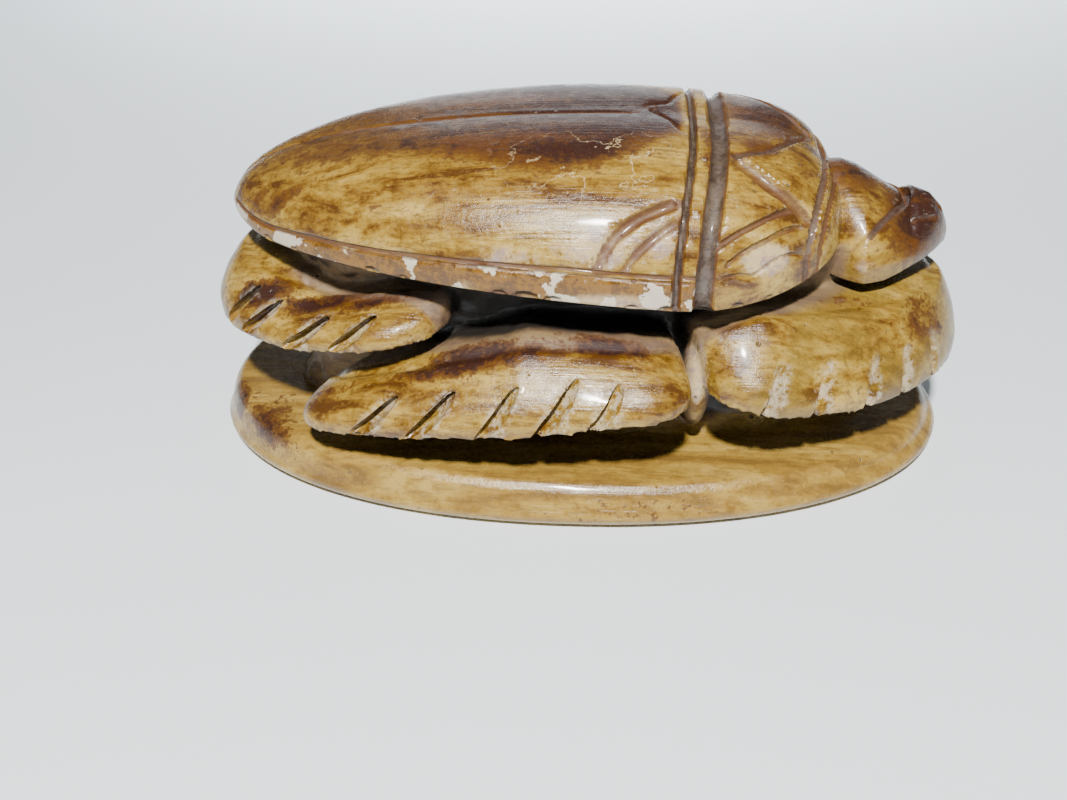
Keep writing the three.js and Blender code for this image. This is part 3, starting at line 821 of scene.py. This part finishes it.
def linearColour(code):
    # sRGB hex to linear RGBA
    parts = [int(code[i:i + 2], 16) / 255 for i in (1, 3, 5)]
    return [c / 12.92 if c <= 0.04045 else ((c + 0.055) / 1.055) ** 2.4 for c in parts] + [1.0]


def addNode(tree, kind, inputs, **settings):
    # inputs come by name or in order; each is a value, a socket, or a node whose live output is taken
    node = tree.nodes.new("ShaderNode" + kind)
    for name, value in settings.items():
        setattr(node, name, value)
    for key, value in inputs.items() if isinstance(inputs, dict) else enumerate(inputs):
        if isinstance(value, bpy.types.Node):
            value = next(out for out in value.outputs if out.enabled)
        if isinstance(value, bpy.types.NodeSocket):
            tree.links.new(value, node.inputs[key])
        else:
            node.inputs[key].default_value = value
    return node


markNames = ("dirt", "lip", "stain", "pale", "rimBand", "raw", "deep", "notch", "olive", "slab", "veined",
             "upper")
stoneColours = {
    "honeyDark": "#4f300c", "honey": "#7e5c1a", "honeyLight": "#9a7b2e", "straw": "#b3944a",
    "olive": "#7f6926", "cream": "#c9b184", "lilac": "#97807c", "stainEdge": "#55300f", "stain": "#2c1411",
    "rimOrange": "#7a5206", "rimBrown": "#57380a", "chip": "#cdc3ae", "grime": "#241712", "dust": "#4c403d",
    # paintedShade is the near-black colour of the painted shade in recesses and undersides
    "paintedShade": "#0a0604", "raw": "#65534a", "slabTone": "#ab8b45",
}


def polishedSoapstone():
    # steatite, carved, soaked in brown stain and rubbed to a waxy polish: soft gloss, cloudy streaks,
    # pale bare stone where the stain has chipped off, dull where the cloth could not reach; the recesses
    # and the undersides get near-black painted shade
    material = bpy.data.materials.new("polishedSoapstone")
    material.use_nodes = True
    tree = material.node_tree
    tree.nodes.clear()
    add = partial(addNode, tree)
    soft = {"interpolation_type": "SMOOTHSTEP"}
    tone = {name: linearColour(code) for name, code in stoneColours.items()}
    marks = {name: add("Attribute", [], attribute_name=name).outputs["Fac"] for name in markNames}

    place = add("TexCoord", []).outputs["Object"]
    inMm = add("Mapping", {"Vector": place, "Scale": (1000, 1000, 1000)})
    flow = add("Mapping", {"Vector": place, "Scale": (150, 800, 800)})  # drawn out along the body
    cloth = add("Mapping", {"Vector": place, "Rotation": (0, 0, 0.12), "Scale": (90, 2600, 2600)})

    streak = add("TexNoise", {"Vector": flow, "Scale": 0.36, "Detail": 7, "Roughness": 0.65,
                              "Distortion": 0.5})  # cloudy bands 3 mm wide
    fibre = add("TexNoise", {"Vector": flow, "Scale": 1.5, "Detail": 5, "Roughness": 0.7,
                             "Distortion": 0.3})  # fibres 0.8 mm wide
    mottle = add("TexNoise", {"Vector": inMm, "Scale": 0.5, "Detail": 7, "Roughness": 0.68,
                              "Distortion": 0.2})  # 2 mm
    fleck = add("TexNoise", {"Vector": inMm, "Scale": 1.7, "Detail": 5, "Roughness": 0.7})  # 0.6 mm
    cloud = add("TexNoise", {"Vector": inMm, "Scale": 0.075, "Detail": 4, "Distortion": 0.4})  # 13 mm
    flake = add("TexNoise", {"Vector": inMm, "Scale": 0.27, "Detail": 5, "Roughness": 0.55})  # 4 mm
    healed = add("TexNoise", {"Vector": inMm, "Scale": 0.05, "Detail": 6, "Roughness": 0.6})  # 20 mm
    scratches = add("TexNoise", {"Vector": cloth, "Scale": 1.0, "Detail": 3})  # coarser than real ones
    pits = add("TexVoronoi", {"Vector": inMm, "Scale": 0.42}).outputs["Distance"]  # one in 2.4 mm
    ragged = add("Mix", {0: 0.4, 2: mottle, 3: fleck})

    oliveShare = add("Math", [marks["olive"], add("MapRange", [cloud, 0.62, 0.42], **soft)],
                     operation="MULTIPLY")
    paleSum = add("Math", [ragged, 1.3, marks["pale"]], operation="MULTIPLY_ADD")
    paleTone = add("Mix", {0: add("MapRange", [mottle, 0.45, 0.62], **soft), 6: tone["cream"],
                           7: tone["lilac"]}, data_type="RGBA")
    bandShare = add("Math", [marks["pale"], -0.85, marks["rimBand"]], operation="MULTIPLY_ADD")
    bandTone = add("Mix", {0: add("MapRange", [ragged, 0.44, 0.54], **soft), 6: tone["rimBrown"],
                           7: tone["rimOrange"]}, data_type="RGBA")

    # stain soaks along the streaks of the back and into the grain of the legs
    raggedness = add("MapRange", [marks["upper"], 0, 1, 0.92, 0.55])
    soak = add("Mix", {0: raggedness, 2: streak, 3: ragged})
    stainSum = add("Math", [soak, 3.4, marks["stain"]], operation="MULTIPLY_ADD")

    # hairline veins run where the noise crosses its middle value
    veinSide = add("Math", [healed, 0.5], operation="SUBTRACT")
    veinGap = add("Math", [veinSide], operation="ABSOLUTE")
    vein = add("Math", [add("MapRange", [veinGap, 0.006, 0.002], **soft), marks["veined"]],
               operation="MULTIPLY")
    pit = add("Math", [add("MapRange", [pits, 0.17, 0.1], **soft),
                       add("MapRange", [mottle, 0.54, 0.6], **soft)], operation="MULTIPLY")

    # stain knocked off the rim, the notches and the lips of the cuts
    flakeSum = add("Math", [marks["pale"], 0.12, flake], operation="MULTIPLY_ADD")
    rimLoss = add("Math", [add("MapRange", [flakeSum, 0.575, 0.595], **soft), marks["rimBand"]],
                  operation="MULTIPLY")
    notchLoss = add("Math", [add("MapRange", [ragged, 0.44, 0.56, 0, 0.55], **soft), marks["notch"]],
                    operation="MULTIPLY")
    lipLoss = add("Math", [add("MapRange", [ragged, 0.57, 0.62, 0, 0.6], **soft), marks["lip"]],
                  operation="MULTIPLY")
    edgeLoss = add("Math", [notchLoss, lipLoss], operation="MAXIMUM")
    chipped = add("Math", [rimLoss, edgeLoss], operation="MAXIMUM")

    dirtSum = add("Math", [ragged, 1.0, marks["dirt"]], operation="MULTIPLY_ADD")
    dirty = add("MapRange", [dirtSum, 0.8, 1.25], **soft)
    thickDirt = add("Mix", {0: add("MapRange", [ragged, 0.4, 0.6], **soft), 6: tone["grime"],
                            7: tone["dust"]}, data_type="RGBA")
    dirtTone = add("Mix", {0: add("MapRange", [marks["dirt"], 0.75, 0.98], **soft),
                           6: tone["stainEdge"], 7: thickDirt}, data_type="RGBA")

    ramp = add("ValToRGB", [add("Mix", {0: 0.18, 2: streak, 3: mottle})])
    bar = ramp.color_ramp
    bar.elements[0].position, bar.elements[0].color = 0.4, tone["honeyDark"]
    bar.elements[1].position, bar.elements[1].color = 0.61, tone["straw"]
    for position, name in ((0.46, "honey"), (0.53, "honeyLight")):
        bar.elements.new(position).color = tone[name]

    # layers over the honey ramp: source, where it starts, where it is full, how much it covers, colour
    layers = [
        (fibre, 0.47, 0.66, 0.6, tone["honeyDark"]),
        (ragged, 0.47, 0.38, 0.45, tone["honeyDark"]),
        (fleck, 0.56, 0.72, 0.5, tone["straw"]),
        (fleck, 0.42, 0.3, 0.55, tone["honeyDark"]),
        (oliveShare, 0, 1, 0.45, tone["olive"]),
        (marks["slab"], 0, 1, 0.3, tone["slabTone"]),
        (marks["raw"], 0, 1, 0.65, tone["raw"]),
        (paleSum, 1.05, 1.35, 0.85, paleTone),
        (bandShare, 0.1, 0.7, 0.96, bandTone),
        (stainSum, 2.02, 2.26, 0.85, tone["stainEdge"]),
        (stainSum, 2.22, 2.7, 0.92, tone["stain"]),
        (vein, 0, 1, 0.7, tone["cream"]),
        (pit, 0, 1, 0.85, tone["stain"]),
        (chipped, 0, 1, 0.85, tone["chip"]),
        (dirty, 0, 1, 0.9, dirtTone),
        # painted shade: near-black laid over the deep recesses, the belly and the leg undersides
        (marks["deep"], 0, 1, 0.97, tone["paintedShade"]),
    ]
    colour = ramp
    for source, start, full, cover, above in layers:
        share = add("MapRange", [source, start, full, 0, cover], **soft)
        colour = add("Mix", {0: share, 6: colour, 7: above}, data_type="RGBA")

    unpolished = add("Math", [marks["raw"], dirty], operation="MAXIMUM")
    dull = add("Math", [unpolished, chipped], operation="MAXIMUM")
    sheen = add("MapRange", [mottle, 0.35, 0.65, 0.2, 0.36])
    roughness = add("Mix", {0: dull, 2: sheen, 3: 0.62})

    relief = add("Mix", {0: 0.35, 2: mottle, 3: scratches})
    for source, height in ((fleck, 0.25), (pit, -0.7), (chipped, -0.5)):
        relief = add("Math", [source, height, relief], operation="MULTIPLY_ADD")
    bump = add("Bump", {"Height": relief, "Strength": 0.6, "Distance": 0.0003})
    shader = add("BsdfPrincipled", {"Base Color": colour, "Roughness": roughness, "Normal": bump,
                                    "IOR": 1.54, "Coat Weight": 0.2, "Coat Roughness": 0.1})
    add("OutputMaterial", {"Surface": shader})
    return material


carving = {"triangles": 188000, "creaseDegrees": 38}

print("carving the back")
scarab = makeBack()
print("carving the head")
weld(scarab, makeHead(), "UNION")
print("cutting the ground")
weld(scarab, makeGround(), "UNION")
print("undercutting the legs")
weld(scarab, makeUnderbody(), "UNION")
scarab.name = "carvedScarab"
scarab.data.name = "carvedScarab"
scarab.data.calc_loop_triangles()
count = len(scarab.data.loop_triangles)
print("triangles before thinning", count)
finishModifier(scarab, "TRIANGULATE")
if count > carving["triangles"]:
    finishModifier(scarab, "DECIMATE", decimate_type="COLLAPSE", ratio=carving["triangles"] / count)
print("triangles", len(scarab.data.polygons))
scarab.data.transform(Matrix.Scale(0.001, 4))
for polygon in scarab.data.polygons:
    polygon.use_smooth = True
scarab.data.set_sharp_from_angle(angle=math.radians(carving["creaseDegrees"]))

# besides stain, wear and dirt, the marks hold painted shade in the recesses and undersides (the 'deep'
# mark)
print("marking stain, wear and dirt")
markSurface(scarab)
scarab.data.materials.clear()
scarab.data.materials.append(polishedSoapstone())

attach(scarab, "root")
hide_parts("scarab")

print("setting up the floor, the light and the camera")

studio = {
    "floorHalf": 3.0, "floorColour": "#f0f9ff", "worldColour": (0.8, 0.85, 0.88, 1), "worldStrength": 0.15,
    "cameraPlace": (0.00575, -0.15509, 0.09999), "cameraDegrees": (57.426, 1.059, 4.123), "lens": 38.8,
}
# name, place, aim, size in metres, power in watts, colour, spread in degrees
softboxes = [
    ("flashSoftbox", (0.0, -0.3, 0.41), (0, 0, 0.025), 0.035, 5.6, (1, 0.98, 0.95), 180),
    ("farFloorFill", (0, 0.46, 0.55), (0, 0.46, 0), 0.25, 2.6, (0.93, 0.96, 1), 70),
    ("backCard", (0, 0.75, 0.16), (0, 0, 0.05), 0.45, 0.9, (0.93, 0.96, 1), 180),
]


def matte(name, colour):
    material = bpy.data.materials.new(name)
    material.use_nodes = True
    shader = material.node_tree.nodes["Principled BSDF"]
    shader.inputs["Base Color"].default_value = linearColour(colour)
    shader.inputs["Roughness"].default_value = 0.9
    return material


bm = bmesh.new()
bmesh.ops.create_grid(bm, x_segments=1, y_segments=1, size=studio["floorHalf"])
floor = toObject("floor", bm)
floor.data.materials.append(matte("palePaper", studio["floorColour"]))


def addSoftbox(name, place, aim, size, power, colour, spread):
    light = bpy.data.lights.new(name, "AREA")
    light.shape = "SQUARE"
    light.size = size
    light.energy = power
    light.color = colour
    light.spread = math.radians(spread)
    lamp = bpy.data.objects.new(name, light)
    lamp.location = place
    lamp.rotation_euler = (Vector(aim) - Vector(place)).to_track_quat("-Z", "Y").to_euler()
    bpy.context.scene.collection.objects.link(lamp)


for settings in softboxes:
    addSoftbox(*settings)

world = bpy.data.worlds.new("studio")
world.use_nodes = True
background = world.node_tree.nodes["Background"]
background.inputs["Color"].default_value = studio["worldColour"]
background.inputs["Strength"].default_value = studio["worldStrength"]
bpy.context.scene.world = world

lens = bpy.data.cameras.new("camera")
lens.lens = studio["lens"]
lens.sensor_width = 36
lens.clip_start = 0.01
camera = bpy.data.objects.new("camera", lens)
camera.location = studio["cameraPlace"]
camera.rotation_euler = [math.radians(turn) for turn in studio["cameraDegrees"]]
bpy.context.scene.collection.objects.link(camera)
bpy.context.scene.camera = camera
